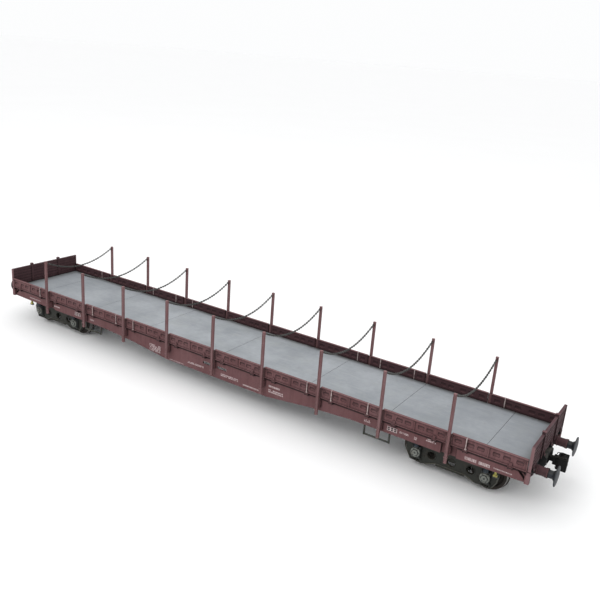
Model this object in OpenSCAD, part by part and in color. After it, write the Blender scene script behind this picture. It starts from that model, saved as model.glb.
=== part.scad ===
// Bogie flat wagon model, 1:32 scale, with drop sides, drop ends, stakes and stake chains.
// X runs along the wagon, Y across it, Z up. The wheel flanges stand on Z = 0.

/* [Body] */
// Length of the underframe over its headstocks
frame_l = 583; // [579:0.5:586]
// Height of the deck's upper face
deck_z = 38.5; // [38.3:0.1:38.7]
// Width over the closed drop sides
body_w = 88.2; // [88:0.1:88.4]
// Height of a drop side
board_h = 10; // [8:0.1:10.8]
// Height of the end walls' top edge
end_top_z = 58; // [52:0.5:60]
// Depth of the side sills in the middle, below the deck plates
sill_depth = 19; // [14:0.5:20]

/* [Stakes] */
// Height of the stakes' tops
stake_top_z = 80.2; // [79.5:0.1:84]
// Width of a stake along the wagon
stake_w = 2.2; // [1.8:0.1:2.4]
// Thickness of a stake across the wagon
stake_t = 2; // [1.6:0.1:2.2]
// Gap between the ends of two drop sides, where a stake stands
stake_gap = 3.4; // [3.2:0.1:4]
// Width of a stake chain
chain_d = 1.4; // [1.2:0.1:1.6]

/* [Running gear] */
// Distance between the bogie pivots
bogie_pitch = 463; // [462:0.5:464]
// Wheelbase of a bogie
wheelbase = 57.4; // [57:0.1:57.8]
// Diameter of the wheels on their treads
wheel_d = 28.8; // [28.4:0.1:29]
// Distance between the backs of two wheels on one axle
back_to_back = 41.5; // [41:0.1:42]

/* [Ends] */
// Height of the buffers' centres
buffer_z = 33.2; // [33:0.1:33.3]
// Distance between the two buffers of one end
buffer_pitch = 54.7; // [54:0.1:55.4]
// Diameter of a buffer head
buffer_head_d = 15.6; // [14:0.1:16]
// Travel of a buffer
buffer_travel = 3.3; // [2.5:0.1:3.5]

/* [Hidden] */
$fn = 48;
clearance = 0.05;
eps = 0.01;

// Places along the wagon
frame_x = frame_l / 2;
stake_steps = [56.5, 58.5, 58.5, 59];
stake_half = [0, 56.5, 115, 173.5, bogie_pitch / 2];
stake_x = [for (i = [-4:4]) sign(i) * stake_half[abs(i)]];
stake_n = len(stake_x);
recess_x = stake_x[stake_n - 1];
board_ends = concat([-frame_x - stake_gap / 2 + 0.3], stake_x, [frame_x + stake_gap / 2 - 0.3]);
board_n = len(board_ends) - 1;
deck_joints = [-frame_x, -255.3, -174.4, -96.3, 0, 96.3, 174.4, 255.3, frame_x];

// Heights
deck_t = 1;
frame_top_z = deck_z - deck_t;
board_bottom_z = frame_top_z;
board_top_z = board_bottom_z + board_h;
frame_bottom_z = 27.5;
sill_end_z = 26.5;
sill_mid_z = frame_top_z - sill_depth;
rail_z = 1;
axle_z = rail_z + wheel_d / 2;
beam_top_z = 36.2;

// Places across the wagon
board_t = 1.2;
board_y = body_w / 2;
sill_y = board_y - 2.2;
sill_t = 1;
sill_flange = 3.2;
stake_y = board_y + 1;
stake_bottom_z = 22;
corner_top_z = 37.2;

// Hinges of the drop sides
hinge_y = board_y + 0.8;
hinge_z = board_bottom_z - 0.9;
hinge_offset = 17.2;
knuckle_r = 0.8;
knuckle_l = 2;
pin_r = 0.35;
strap_w = 1.2;
ear_t = 0.8;
ear_gap = 0.15;

// Drop sides with white full-height hinge straps: [board number, side of its middle]
tall_straps = [[0, 1], [2, -1], [2, 1], [3, -1], [6, 1], [7, -1], [7, 1], [9, -1]];

// End walls
wall_x = frame_x + 0.5;
wall_t = 1.4;
wall_hinge_x = wall_x + wall_t + 0.8;
wall_bottom_z = frame_top_z + 0.4;
wall_hinge_z = wall_bottom_z - 1;
wall_hinge_ys = [-37, -10, 10, 37];
wall_post_y = 18.2;
wall_knuckle_l = 3;

// Stake socket in the side sill
socket_top_z = 35;
socket_bottom_z = 28;
socket_w = 3;
tongue_l = 6;

// Chain, from the far face of one eye to the other
eye_y = stake_y - 0.9;
chain_route = [
    [-44.2, 78.3], [-40, 76.3], [-36, 74.6], [-32, 73], [-28, 71.7], [-24, 70.5],
    [-20, 69.5], [-16, 68.7], [-12, 68], [-8, 67.6], [-4, 67.3], [0, 67.2],
    [4, 67.3], [8, 67.6], [12, 68], [16, 68.7], [20, 69.5], [24, 70.5],
    [28, 71.7], [32, 73], [36, 74.6], [40, 76.3], [44.2, 78.3]
];
chain_sides = 8;
chain_eye_z = chain_route[0][1];

// Bogies
pivot_x = bogie_pitch / 2;
side_frame_y = 29.5;
side_frame_t = 2.5;
frame_hole_r = 3.5;
frame_hole_x = 16.2;
frame_hole_z = 15.4;
bolster_z = 26.5;
pivot_pin_r = 2.5;
journal_r = 1.1;
journal_end_y = 33.4;
box_half = 3.4;
cover_y = side_frame_y + 6.4;
tread_w = 3.25;
flange_w = 1;
flange_h = 1;

// Buffers and couplers
buffer_y = buffer_pitch / 2;
sleeve_r = 3.8;
plunger_r = 3.05;
sleeve_end_x = frame_x + 11.5;
head_face_x = frame_x + 18.5;
head_t = 1.8;
coupler_z = 31.6;
coupler_pin_x = frame_x - 8;
coupler_pin_r = 1;
coupler_window_y = 7;
housing_y = 10;
pocket_y = 5.9;
pocket_h = 3.2;

red_oxide = [0.42, 0.25, 0.25];
dark_red = [0.32, 0.19, 0.19];
deck_grey = [0.66, 0.70, 0.73];
frame_grey = [0.20, 0.22, 0.24];
bogie_grey = [0.24, 0.25, 0.22];
steel_grey = [0.36, 0.38, 0.40];
chain_grey = [0.30, 0.30, 0.29];
black_iron = [0.10, 0.10, 0.11];

// A box given by its two corners
module block(low, high) {
    translate(low) cube(high - low);
}

// A cylinder along X, centred on its middle
module bar_x(l, r) {
    rotate([0, 90, 0]) cylinder(h = l, r = r, center = true);
}

// A cylinder along Y, from y0 to y1
module rod_y(x, z, y0, y1, r) {
    translate([x, y1, z]) rotate([90, 0, 0]) cylinder(h = y1 - y0, r = r);
}

// Copies the children to the far side too
module both_sides() {
    children();
    mirror([0, 1, 0]) children();
}

// Copies the children to the left end too
module both_ends() {
    children();
    mirror([1, 0, 0]) children();
}

// Side view of a sill: deep between the bogies, shallow over them
module sill_outline() {
    polygon([
        [-frame_x, sill_end_z + 1.2], [-pivot_x, sill_end_z], [-145, sill_end_z],
        [-105, sill_mid_z + 5.2], [-60, sill_mid_z], [60, sill_mid_z],
        [105, sill_mid_z + 5.2], [145, sill_end_z], [pivot_x, sill_end_z],
        [frame_x, sill_end_z + 1.2], [frame_x, frame_top_z], [-frame_x, frame_top_z]
    ]);
}

// The outline stood up at the near side, from the sill face inwards
module sill_slab(inset, thickness, rise) {
    translate([0, -sill_y + inset + thickness, rise]) rotate([90, 0, 0])
        linear_extrude(thickness) sill_outline();
}

// Ears and pin that carry one hinge of a drop side
module board_hinge(x) {
    for (s = [-1, 1]) {
        translate([x + s * (knuckle_l / 2 + ear_gap + ear_t / 2), 0, 0]) {
            block([-ear_t / 2, -hinge_y, hinge_z - 1.4], [ear_t / 2, -sill_y + eps, hinge_z + 0.75]);
            translate([0, -hinge_y, hinge_z]) bar_x(ear_t, 0.75);
        }
    }
    translate([x, -hinge_y, hinge_z]) bar_x(knuckle_l + 2 * ear_gap + 2 * ear_t, pin_r);
}

// Socket that a stake's tongue drops into
module stake_socket(x) {
    difference() {
        block([x - socket_w / 2, -stake_y + 0.1, socket_bottom_z],
              [x + socket_w / 2, -sill_y + 2.6, socket_top_z]);
        block([x - 0.5, -stake_y, socket_top_z - tongue_l], [x + 0.5, -stake_y + 1, socket_top_z + 1]);
        block([x - 0.9, -stake_y + 0.8, socket_top_z - tongue_l],
              [x + 0.9, -stake_y + 1.95, socket_top_z + 1]);
    }
}

module side_sill() {
    difference() {
        union() {
            sill_slab(0, sill_t, 0);
            difference() {
                sill_slab(0, sill_flange, 0);
                sill_slab(-1, sill_flange + 2, sill_t);
            }
            block([-frame_x, -sill_y, frame_top_z - 1], [frame_x, -sill_y + sill_flange, frame_top_z]);
        }
        // Recess behind each outermost stake, whose foot stands free
        for (s = [-1, 1]) {
            block([s * recess_x - 6.5, -sill_y - 1, sill_end_z - 2],
                  [s * recess_x + 6.5, -sill_y + sill_flange + 1, frame_top_z - 1]);
        }
        block([-14, -sill_y - 1, 28], [-3, -sill_y + 2, 30.6]);
        block([3, -sill_y - 1, 28], [14, -sill_y + 2, 30.6]);
        corner_openings();
        mirror([1, 0, 0]) corner_openings();
    }
    // Feet of the corner posts, below the end walls' corners
    for (s = [-1, 1]) {
        translate([s * (frame_x + 0.7), 0, 0])
            block([-1.7, -board_y, frame_bottom_z + 0.2], [1.7, -sill_y + sill_t, corner_top_z]);
    }
    // Set-back plates that close the two recesses and the corner openings
    for (s = [-1, 1]) {
        block([s * recess_x - 7.5, -sill_y + 2.2, sill_end_z],
              [s * recess_x + 7.5, -sill_y + 3.2, frame_top_z]);
        translate([s * (frame_x - 5.5), 0, 0])
            block([-5.5, -sill_y + 2.2, sill_end_z], [5.5, -sill_y + 3.2, frame_top_z]);
    }
    for (x = stake_x) {
        stake_socket(x);
    }
    for (i = [0:board_n - 1]) {
        for (s = [-1, 1]) {
            board_hinge(board_middle(i) + s * hinge_offset);
        }
    }
}

// Openings in a sill's web beside the corner post, with a diagonal brace left between them
module corner_openings() {
    translate([frame_x, -sill_y + sill_t + 1, 0]) rotate([90, 0, 0]) linear_extrude(sill_t + 2) {
        polygon([[-7.6, 35.4], [-4.6, 35.4], [-1.2, 31.7], [-1.2, 29]]);
        polygon([[-3.4, 35.4], [-1.2, 35.4], [-1.2, 33.1]]);
    }
}

module near_side_sill() {
    color(red_oxide) side_sill();
}

module far_side_sill() {
    color(red_oxide) mirror([0, 1, 0]) side_sill();
}

// Two centre beams with cross bearers, bolsters and headstocks fitted over them
module centre_frame() {
    color(frame_grey) {
        both_sides() centre_beam(0);
        for (x = stake_x) {
            if (abs(x) < pivot_x) {
                cross_bearer(x);
            }
        }
        both_ends() {
            bolster();
            headstock();
        }
    }
}

// Flanged beam under the deck, beside the middle; grown by a gap it cuts its own notches
module centre_beam(gap) {
    reach = frame_x - 3 - clearance + gap;
    block([-reach, 6 - gap, frame_bottom_z - gap], [reach, 7.2 + gap, beam_top_z + gap]);
    block([-reach, 4.6 - gap, frame_bottom_z - gap], [reach, 8.6 + gap, frame_bottom_z + 0.8 + gap]);
}

// Plate across the wagon under a pair of stakes, notched over the beams
module cross_bearer(x) {
    inner_y = sill_y - sill_flange - clearance;
    difference() {
        block([x - 0.6, -inner_y, 30.6], [x + 0.6, inner_y, frame_top_z - clearance]);
        both_sides() centre_beam(clearance);
    }
}

// Heavy cross bearer over a bogie, with the pin that the bogie turns on
module bolster() {
    inner_y = sill_y - sill_flange - clearance;
    difference() {
        translate([pivot_x, 0, 0]) {
            block([-5, -inner_y, 31.2], [5, inner_y, frame_top_z - clearance]);
            block([-5, -12, bolster_z + 0.1], [5, 12, 32]);
            translate([0, 0, 15.5]) cylinder(h = 15, r = pivot_pin_r);
        }
        both_sides() centre_beam(clearance);
    }
}

// End plate of the frame with the coupler's window and pocket and the end wall's hinges
module headstock() {
    difference() {
        block([frame_x - 3, -sill_y, frame_bottom_z], [frame_x, sill_y, frame_top_z - clearance]);
        block([frame_x - 4, -coupler_window_y, frame_bottom_z + 1.4],
              [frame_x + 1, coupler_window_y, coupler_z + 3]);
        // The side sills run through to the ends
        for (s = [-1, 1]) {
            block([frame_x - 4, s * (sill_y - 1.6) - 1.65, frame_bottom_z - 1],
                  [frame_x + 1, s * (sill_y - 1.6) + 1.65, frame_top_z + 1]);
        }
    }
    drawgear_housing();
    for (y = wall_hinge_ys) {
        wall_hinge_ears(y);
    }
}

// Tapered casting around the coupler's window, with the pocket and pin the coupler swings on
module drawgear_housing() {
    difference() {
        translate([0, housing_y, 0]) rotate([90, 0, 0]) linear_extrude(2 * housing_y)
            polygon([
                [frame_x - eps, frame_bottom_z - 0.8], [frame_x + 3.6, frame_bottom_z - 0.8],
                [frame_x + 5, frame_bottom_z + 1.2], [frame_x + 5, 34.6], [frame_x + 3.4, 35.8],
                [frame_x - eps, 35.8]
            ]);
        block([frame_x - 1, -coupler_window_y, frame_bottom_z + 1.4],
              [frame_x + 4, coupler_window_y, coupler_z + 3]);
        block([frame_x + 3, -5, frame_bottom_z + 1.4], [frame_x + 6, 5, coupler_z + 3]);
    }
    for (z = [coupler_z + pocket_h - 0.3, coupler_z - pocket_h]) {
        block([frame_x - 13, -pocket_y, z], [frame_x - 2.9, pocket_y, z + 0.9]);
    }
    translate([coupler_pin_x, 0, coupler_z - pocket_h + 0.1]) cylinder(h = 6.4, r = coupler_pin_r);
}

// Ears and pin that carry one hinge of an end wall
module wall_hinge_ears(y) {
    pin_l = wall_knuckle_l + 2 * ear_gap + 2 * ear_t;
    for (s = [-1, 1]) {
        translate([0, y + s * (wall_knuckle_l / 2 + ear_gap + ear_t / 2), 0]) {
            block([frame_x - eps, -ear_t / 2, wall_hinge_z - 1.6],
                  [wall_hinge_x, ear_t / 2, wall_hinge_z + 0.6]);
            rod_y(wall_hinge_x, wall_hinge_z, -ear_t / 2, ear_t / 2, 0.75);
        }
    }
    rod_y(wall_hinge_x, wall_hinge_z, y - pin_l / 2, y + pin_l / 2, pin_r);
}

// Eight steel floor plates with a narrow joint between them
module deck_plates() {
    color(deck_grey)
    for (i = [0:len(deck_joints) - 2]) {
        block([deck_joints[i] + 0.15, -board_y + board_t + 0.35, frame_top_z],
              [deck_joints[i + 1] - 0.15, board_y - board_t - 0.35, deck_z]);
    }
}

// Four sleeves that guide the buffers
module buffer_sleeves() {
    color(dark_red)
    both_ends() both_sides() {
        difference() {
            union() {
                block([frame_x, buffer_y - 4.3, buffer_z - 4.3],
                      [frame_x + 1.4, buffer_y + 4.3, buffer_z + 3.5]);
                block([frame_x, 19.4, frame_bottom_z + 0.2], [frame_x + 0.7, sill_y - 3.3, 35.1]);
                translate([(frame_x + sleeve_end_x) / 2, buffer_y, buffer_z])
                    bar_x(sleeve_end_x - frame_x, sleeve_r - 0.3);
                translate([sleeve_end_x - 1, buffer_y, buffer_z]) bar_x(2, sleeve_r);
            }
            translate([frame_x + 8, buffer_y, buffer_z]) bar_x(15, plunger_r + clearance);
        }
    }
}

// One sprung buffer: a domed head on a plunger tube
module buffer(end, side) {
    plunger_start = frame_x + 3.8 + buffer_travel;
    color(steel_grey)
    mirror([end < 0 ? 1 : 0, 0, 0]) mirror([0, side < 0 ? 1 : 0, 0])
    translate([0, buffer_y, buffer_z]) {
        translate([(plunger_start + head_face_x - head_t) / 2, 0, 0])
            bar_x(head_face_x - head_t - plunger_start + 0.4, plunger_r);
        translate([head_face_x, 0, 0]) rotate([0, -90, 0]) rotate_extrude()
            polygon([
                [0, 0], [3, 0.08], [5.5, 0.35], [buffer_head_d / 2, 0.8],
                [buffer_head_d / 2, head_t - 0.3], [5, head_t], [0, head_t + 0.4]
            ]);
    }
}

// Automatic coupler: box-like head on a shank that swings about its pin
module coupler(end) {
    head_x = frame_x + 11;
    head_back_x = frame_x + 19;
    color(black_iron)
    mirror([end < 0 ? 1 : 0, 0, 0])
    difference() {
        union() {
            block([coupler_pin_x, -1.8, coupler_z - 1.8], [head_x + 1, 1.8, coupler_z + 1.8]);
            translate([coupler_pin_x, 0, coupler_z - 2.2]) cylinder(h = 4.8, r = 2.8);
            block([head_x - 3, -3, coupler_z - 3.4], [head_x + 1, 3, coupler_z + 2.6]);
            translate([0, 0, coupler_z - 5.4]) linear_extrude(9.8)
                polygon([
                    [head_x, -4.6], [head_x + 2, -5.6], [head_back_x, -5.6], [head_back_x, -2.6],
                    [head_x + 4.4, -0.4], [head_x + 4.4, 2.4], [head_back_x - 1, 5.2],
                    [head_x + 2, 5.6], [head_x, 4.6]
                ]);
        }
        translate([coupler_pin_x, 0, coupler_z - 5]) cylinder(h = 10, r = coupler_pin_r + clearance);
        // Lightening pocket and lock hole in the head's top
        block([head_x + 1.4, -3.6, coupler_z + 3.2], [head_x + 4, 3.6, coupler_z + 5]);
        translate([head_x + 6, -3.4, coupler_z - 6]) cylinder(h = 12, r = 0.9);
    }
}

// Middle of drop side i, and half of its length
function board_middle(i) = (board_ends[i] + board_ends[i + 1]) / 2;
function board_half(i) = (board_ends[i + 1] - board_ends[i] - stake_gap) / 2;

// One drop side on the near side: a flanged plate with pressed fields and two hinge straps
module drop_side(i) {
    half = board_half(i);
    outer = -board_y;
    field_z = board_bottom_z + board_h * 0.34;
    field_h = board_h * 0.34;
    translate([board_middle(i), 0, 0]) {
        difference() {
            union() {
                block([-half, outer, board_bottom_z], [half, outer + board_t, board_top_z]);
                block([-half, outer - 0.7, board_top_z - 0.7], [half, outer + board_t, board_top_z]);
                block([-half, outer - 0.6, board_bottom_z], [half, outer + eps, board_bottom_z + 0.7]);
                block([-0.5, outer - 0.45, board_bottom_z - 0.5], [0.5, outer + 0.3, board_top_z]);
                for (s = [-1, 1]) {
                    block([s * (half - 0.4) - 0.4, outer - 0.45, board_bottom_z],
                          [s * (half - 0.4) + 0.4, outer + 0.3, board_top_z]);
                    hinge_strap(s * hinge_offset, has_tall_strap(i, s));
                }
            }
            for (s = [-1, 1]) {
                for (k = [0:2]) {
                    pressed_field(s * field_middle(half, k), field_z, field_h);
                }
                translate([s * hinge_offset, -hinge_y, hinge_z]) bar_x(10, pin_r + clearance);
            }
        }
    }
}

// Distance of pressed field k from the middle of a drop side
function field_middle(half, k) = half * (0.19 + 0.305 * k) + (k == 1 ? -0.6 : 0.4);

// A shallow field pressed into both faces of a drop side
module pressed_field(x, z, h) {
    w = 5.6;
    for (y = [-board_y - 0.35, -board_y + board_t - 0.3]) {
        translate([x, y + 0.8, z]) rotate([90, 0, 0]) linear_extrude(0.8)
            polygon([
                [-w / 2, 0.6], [-w / 2 + 0.6, 0], [w / 2 - 0.6, 0], [w / 2, 0.6],
                [w / 2, h - 0.6], [w / 2 - 0.6, h], [-w / 2 + 0.6, h], [-w / 2, h - 0.6]
            ]);
    }
}

function has_tall_strap(i, s) = len([for (p = tall_straps) if (p[0] == i && p[1] == s) 1]) > 0;

// Strap with the knuckle that turns on the hinge's pin
module hinge_strap(x, tall) {
    w = knuckle_l;
    foot_z = board_bottom_z + (tall ? 1.6 : 3);
    top_z = board_top_z - 0.1;
    block([x - w / 2, -hinge_y + 0.1, hinge_z], [x + w / 2, -board_y + eps, foot_z]);
    translate([x, -hinge_y, hinge_z]) bar_x(w, knuckle_r);
    if (tall) {
        block([x - strap_w / 2, -hinge_y + 0.1, foot_z - eps], [x + strap_w / 2, -board_y + eps, top_z]);
        block([x - strap_w / 2, -board_y + board_t - eps, board_bottom_z + 1.3],
              [x + strap_w / 2, -board_y + board_t + 0.25, top_z]);
    }
}

module near_board(i) {
    color(red_oxide) drop_side(i);
}

module far_board(i) {
    color(dark_red) mirror([0, 1, 0]) drop_side(i);
}

// One end wall: three bays of pressed sheet between two posts, hinged at its foot
module end_wall() {
    bay_h = (end_top_z - wall_bottom_z - 2) / 5;
    difference() {
        union() {
            block([wall_x, -board_y, wall_bottom_z], [wall_x + wall_t, board_y, end_top_z]);
            block([wall_x - 0.3, -board_y, end_top_z - 1], [wall_x + wall_t + 0.3, board_y, end_top_z]);
            for (s = [-1, 1]) {
                translate([0, s * wall_post_y, 0])
                    block([wall_x - 0.5, -1.2, wall_bottom_z], [wall_x + wall_t + 0.9, 1.2, end_top_z + 1.8]);
                translate([0, s * (board_y - 0.6), 0])
                    block([wall_x - 0.3, -0.6, wall_bottom_z], [wall_x + wall_t + 0.5, 0.6, end_top_z]);
            }
            for (y = wall_hinge_ys) {
                block([wall_x, y - wall_knuckle_l / 2, wall_hinge_z],
                      [wall_hinge_x - 0.1, y + wall_knuckle_l / 2, wall_bottom_z + 2.4]);
                rod_y(wall_hinge_x, wall_hinge_z, y - wall_knuckle_l / 2, y + wall_knuckle_l / 2, knuckle_r);
            }
        }
        for (k = [0:4]) {
            for (x = [wall_x - 1, wall_x + wall_t - 0.35]) {
                for (bay = [[-42.6, -19.8], [-16.6, 16.6], [19.8, 42.6]]) {
                    block([x, bay[0], wall_bottom_z + 2.6 + k * (bay_h - 0.35)],
                          [x + 1.35, bay[1], wall_bottom_z + 2.6 + k * (bay_h - 0.35) + bay_h * 0.42]);
                }
            }
        }
        for (y = wall_hinge_ys) {
            rod_y(wall_hinge_x, wall_hinge_z, y - 5, y + 5, pin_r + clearance);
        }
    }
}

module right_end_wall() {
    color(dark_red) end_wall();
}

module left_end_wall() {
    color(dark_red) mirror([1, 0, 0]) end_wall();
}

// The near and the far stake of one pair, with tongues for their sockets and chain eyes
module stakes(i) {
    x = stake_x[i];
    color(red_oxide)
    both_sides() {
        block([x - stake_w / 2, stake_y, stake_bottom_z], [x + stake_w / 2, stake_y + stake_t, stake_top_z]);
        block([x - 0.4, stake_y - 0.95, socket_top_z - tongue_l + clearance],
              [x + 0.4, stake_y + eps, socket_top_z]);
        block([x - 0.8, stake_y - 1.85, socket_top_z - tongue_l + clearance],
              [x + 0.8, stake_y - 0.9, socket_top_z]);
        // Shoe that fills the gap between two closed drop sides
        block([x - stake_gap / 2 + 0.1, board_y + 0.2, socket_top_z + 0.1],
              [x + stake_gap / 2 - 0.1, stake_y + eps, board_top_z - 0.7]);
        // The chain's eye
        block([x - 0.7, eye_y, chain_eye_z - 0.8], [x + 0.7, stake_y + eps, chain_eye_z + 0.8]);
    }
}

// Ring k of the chain's tube, square to the route there
function chain_tangent(k) =
    let (a = chain_route[max(k - 1, 0)], b = chain_route[min(k + 1, len(chain_route) - 1)], d = b - a)
    d / norm(d);
function chain_ring(x, k) =
    let (p = chain_route[k], t = chain_tangent(k))
    [for (j = [0:chain_sides - 1])
        let (a = 360 * (j + 0.5) / chain_sides, u = chain_d / 2 * cos(a), v = chain_d / 2 * sin(a))
        [x + u, p[0] - v * t[1], p[1] + v * t[0]]];

// A chain between the two stakes of one pair, as a plain tube
module chain(i) {
    rings = len(chain_route);
    n = chain_sides;
    points = [for (k = [0:rings - 1]) each chain_ring(stake_x[i], k)];
    walls = [for (k = [0:rings - 2]) for (j = [0:n - 1])
        [k * n + j, k * n + (j + 1) % n, (k + 1) * n + (j + 1) % n, (k + 1) * n + j]];
    start_cap = [[for (j = [0:n - 1]) n - 1 - j]];
    end_cap = [[for (j = [0:n - 1]) (rings - 1) * n + j]];
    color(chain_grey) polyhedron(points = points, faces = concat(start_cap, walls, end_cap));
}

// Side view of a bogie's side frame, about the bogie's pivot
module side_frame_outline() {
    difference() {
        polygon([
            [-38.5, 18], [-37.5, 12], [-34, 6.2], [-21, 6.2], [-12.5, 9.4], [12.5, 9.4],
            [21, 6.2], [34, 6.2], [37.5, 12], [38.5, 18], [36.5, 23], [24, 24.2],
            [17, 25.6], [-17, 25.6], [-24, 24.2], [-36.5, 23]
        ]);
        for (x = [-frame_hole_x, 0, frame_hole_x]) {
            translate([x, frame_hole_z]) circle(r = frame_hole_r);
        }
        for (s = [-1, 1]) {
            translate([s * wheelbase / 2 - box_half, axle_z - 5]) square([2 * box_half, 10]);
            translate([s * wheelbase / 2 - 3, 7]) square([6, 1.6]);
        }
    }
}

// Bogie frame: two side frames, a transom with the pivot bore, and brake shoes on their beams
module bogie_frame() {
    color(bogie_grey)
    difference() {
        union() {
            both_sides() {
                translate([0, side_frame_y + side_frame_t, 0]) rotate([90, 0, 0])
                    linear_extrude(side_frame_t) side_frame_outline();
                // Lower flange of the side frame
                block([-12, side_frame_y + 1, 8.4], [12, side_frame_y + 3.4, 9.4]);
                // Brake shoes
                for (s = [-1, 1]) {
                    difference() {
                        translate([s * 11, 0, 0]) block([-2.4, 21.6, 10.4], [2.4, 25, 20.4]);
                        rod_y(s * wheelbase / 2, axle_z, 20, 27, wheel_d / 2 + flange_h + 0.45);
                    }
                }
                block([-4.5, 23.5, 15], [4.5, 28, 26.2]);
            }
            block([-6.5, -side_frame_y - eps, 14.5], [6.5, side_frame_y + eps, 23.5]);
            for (s = [-1, 1]) {
                block([s * 9.4 - 0.8, -25, 13], [s * 9.4 + 0.8, 25, 15.2]);
                translate([s * 8, 0, 0]) block([-2, -2, 14.5], [2, 2, 16]);
            }
            translate([0, 0, 20]) cylinder(h = bolster_z - 20, r = 7);
        }
        translate([0, 0, 10]) cylinder(h = 20, r = pivot_pin_r + clearance);
    }
}

// Four axleboxes with their springs, in the openings of the side frames
module axleboxes() {
    color(bogie_grey)
    for (s = [-1, 1]) {
        translate([s * wheelbase / 2, 0, axle_z]) both_sides() {
            difference() {
                union() {
                    block([-box_half + 0.02, side_frame_y - 1, -4.98],
                          [box_half - 0.02, side_frame_y + 5, 4.98]);
                    rod_y(0, 0, side_frame_y + 3, cover_y, 3.7);
                    rod_y(0, 0, cover_y - eps, cover_y + 0.8, 2.6);
                    // Spring pot above the box, outside the side frame
                    translate([0, side_frame_y + 5.2, 4.6]) cylinder(h = 4.6, r = 2);
                    block([-2.6, side_frame_y + side_frame_t + clearance, 8.8],
                          [2.6, side_frame_y + 7, 9.8]);
                }
                rod_y(0, 0, side_frame_y - 2, journal_end_y + 0.2, journal_r + clearance);
            }
        }
    }
}

module place_bogie(end) {
    translate([end * pivot_x, 0, 0]) children();
}

// Two wheels on an axle with journals
module wheelset(x) {
    back = back_to_back / 2;
    tread_r = wheel_d / 2;
    color(steel_grey)
    translate([x, 0, axle_z]) rotate([90, 0, 0]) {
        cylinder(h = 2 * back + 8, r = 1.7, center = true);
        cylinder(h = 2 * journal_end_y, r = journal_r, center = true);
        for (s = [0, 1]) {
            mirror([0, 0, s]) translate([0, 0, back]) rotate_extrude()
                polygon([
                    [0, -0.5], [3.4, -0.5], [3.6, 0.9], [10.6, 0.9], [11.6, 0],
                    [tread_r + flange_h - 0.3, 0], [tread_r + flange_h, 0.4],
                    [tread_r + flange_h - 0.2, 0.8], [tread_r + 0.1, flange_w + 0.3],
                    [tread_r - 0.15, flange_w + tread_w], [11.8, flange_w + tread_w], [11, 3.2], [4, 2.4],
                    [3.4, 5], [0, 5]
                ]);
        }
    }
}

// Tank, brake gear, pipes, steps and hooks below the deck
module underframe_fittings() {
    hang_z = frame_top_z - clearance;
    color(frame_grey) {
        // Air tank and its straps
        translate([-84, 22, 30.4]) bar_x(34, 4.6);
        for (s = [-1, 1]) {
            block([-84 + s * 10 - 0.7, 21, 34], [-84 + s * 10 + 0.7, 23, hang_z]);
        }
        // Brake cylinder, its bracket and its push rod
        translate([30, -22, 30.6]) bar_x(18, 4);
        translate([42, -22, 30.6]) bar_x(12, 0.8);
        block([24, -24, 34], [34, -20, hang_z]);
        block([47, -23, 26], [48.4, -21, 36]);
        // Distributor valve
        block([4, 16, 28], [12, 24, 35]);
        block([6, 18, 34.9], [10, 22, hang_z]);
        // Brake pipe along the frame
        translate([0, 13, 29.4]) bar_x(2 * frame_x - 20, 0.6);
        for (x = [-210, -140, -28, 28, 140, 210]) {
            block([x - 0.5, 12.5, 29.6], [x + 0.5, 13.5, hang_z]);
        }
    }
    color(frame_grey) both_sides() both_ends() bar_step();
    color(dark_red) both_sides() both_ends() corner_hook();
}

// U-shaped bar below the sill, beside the bogie
module bar_step() {
    y = sill_y - 4.2;
    leg_r = 0.85;
    foot_z = 16.2;
    for (x = [157, 180]) {
        translate([x, y, foot_z - 0.7]) cylinder(h = 15.6, r = leg_r);
        block([x - 1, y - 1.5, 31], [x + 1, y + 0.95, 32.6]);
    }
    translate([168.5, y, foot_z]) bar_x(23, leg_r - 0.05);
}

// Rope hook and lever bracket near the corner of the frame
module corner_hook() {
    translate([frame_x - 23, sill_y - 3.9, 0]) {
        block([-0.7, -0.6, 20.6], [0.7, 0.6, frame_top_z - 1.2]);
        block([-1.9, -0.9, 20.6], [1.9, 0.9, 22]);
    }
}

centre_frame();
near_side_sill();
far_side_sill();
deck_plates();
buffer_sleeves();
underframe_fittings();
left_end_wall();
right_end_wall();
for (i = [0:board_n - 1]) near_board(i);
for (i = [0:board_n - 1]) far_board(i);
for (i = [0:stake_n - 1]) stakes(i);
for (i = [0:stake_n - 1]) chain(i);
place_bogie(-1) bogie_frame();  // left_bogie_frame
place_bogie(1) bogie_frame();  // right_bogie_frame
place_bogie(-1) axleboxes();  // left_axleboxes
place_bogie(1) axleboxes();  // right_axleboxes
wheelset(-pivot_x - wheelbase / 2);  // wheelset_1
wheelset(-pivot_x + wheelbase / 2);  // wheelset_2
wheelset(pivot_x - wheelbase / 2);  // wheelset_3
wheelset(pivot_x + wheelbase / 2);  // wheelset_4
buffer(-1, -1);  // left_near_buffer
buffer(-1, 1);  // left_far_buffer
buffer(1, -1);  // right_near_buffer
buffer(1, 1);  // right_far_buffer
coupler(-1);  // left_coupler
coupler(1);  // right_coupler
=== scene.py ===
"""Looks of a 1:32 model bogie flat wagon: chains, paint, marks and small fittings around its CAD frame."""

import math
import random

import bmesh
import bpy
from mathutils import Matrix, Vector


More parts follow.
